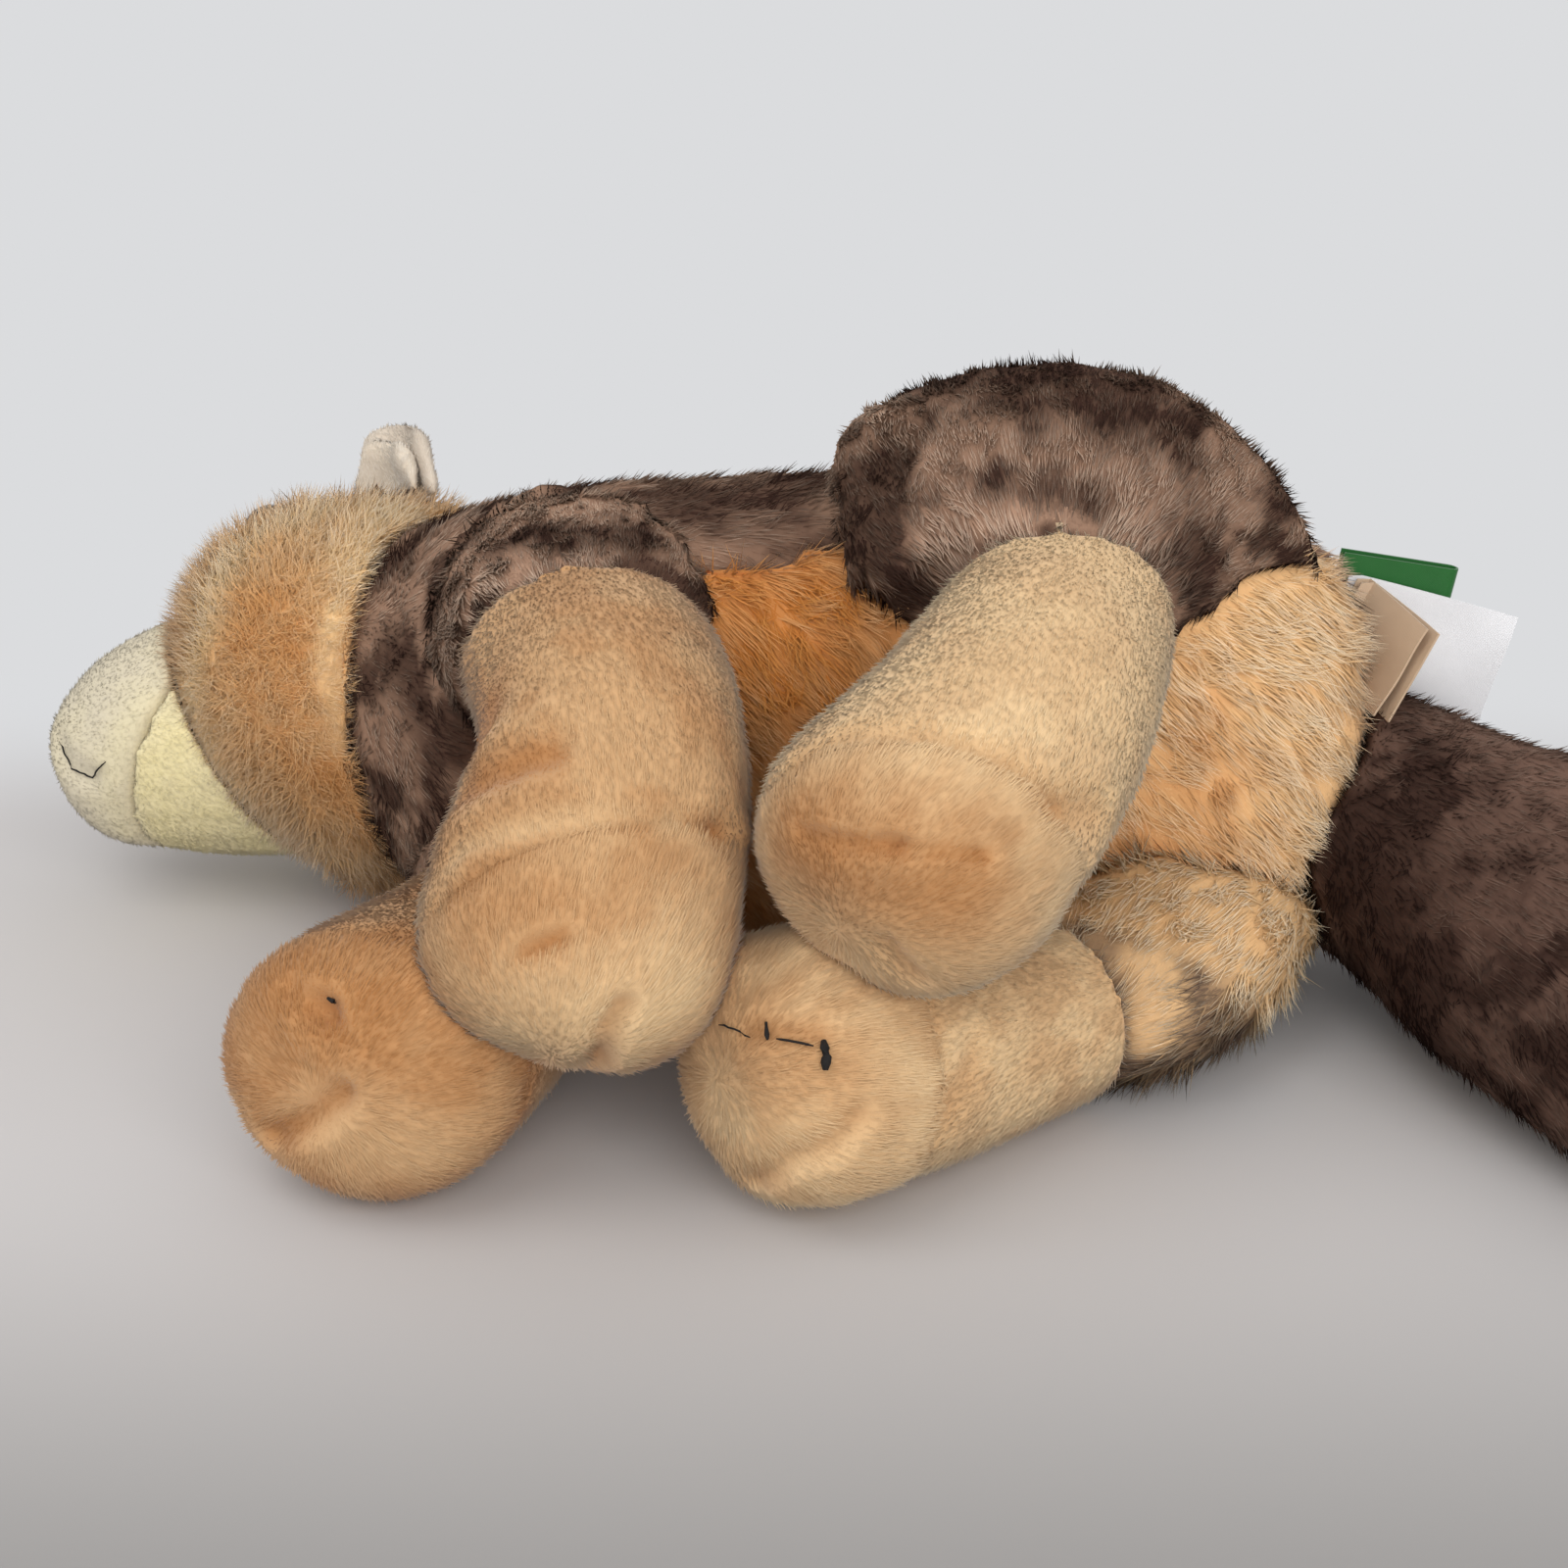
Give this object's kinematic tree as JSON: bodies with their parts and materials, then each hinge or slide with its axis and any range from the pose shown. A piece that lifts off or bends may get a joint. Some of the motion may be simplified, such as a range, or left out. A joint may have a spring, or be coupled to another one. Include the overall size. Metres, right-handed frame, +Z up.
{
  "type": "plush wolf",
  "caption": "Soft plush wolf lying on its right side, long-pile fur on head, trunk and tail, short-pile legs with pinched toes, labels sewn in at the rump",
  "frame": {"origin": "on the flat patch of the trunk that rests on the table, where the mount rest_face is", "axes": "X runs along the trunk from head to tail, so the head is at -X and the tail at +X; Y points to the wolf's back, so the belly and the paws are at -Y; Z points up from the table, out of the wolf's left side"},
  "size_m": [0.3791, 0.2428, 0.1382],
  "materials": {
    "mottled_grey_fur": "long mottled plush pile, dark grey-brown with paler roots",
    "long_orange_fur": "long soft plush pile, orange with cream tips",
    "cream_fleece": "short cream fleece",
    "white_fleece": "short off-white fleece",
    "short_beige_plush": "short dense beige plush",
    "black_plastic": "gloss moulded",
    "white_satin": "woven satin tape, bare",
    "green_ribbon": "woven satin ribbon, plain",
    "cream_satin": "woven satin tape, bare"
  },
  "bodies": {
    "root": {"torso": "mottled_grey_fur", "tail": "mottled_grey_fur", "crown": "mottled_grey_fur", "front_left_shoulder": "mottled_grey_fur", "front_right_shoulder": "mottled_grey_fur", "hind_left_thigh": "mottled_grey_fur", "hind_right_thigh": "mottled_grey_fur", "ear_left_outer": "mottled_grey_fur", "ear_right_outer": "mottled_grey_fur", "belly_panel": "long_orange_fur", "face": "long_orange_fur", "muzzle_chin": "cream_fleece", "muzzle_top": "white_fleece", "ear_left_lining": "white_fleece", "ear_right_lining": "white_fleece", "front_left_leg": "short_beige_plush", "front_left_sole": "short_beige_plush", "front_right_leg": "short_beige_plush", "front_right_sole": "short_beige_plush", "hind_left_leg": "short_beige_plush", "hind_left_sole": "short_beige_plush", "hind_right_leg": "short_beige_plush", "hind_right_sole": "short_beige_plush", "nose": "black_plastic", "eye_left": "black_plastic", "eye_right": "black_plastic", "item_label": "white_satin", "ribbon_loop": "green_ribbon", "care_label_front": "cream_satin", "care_label_back": "cream_satin"}
  },
  "joints": []
}
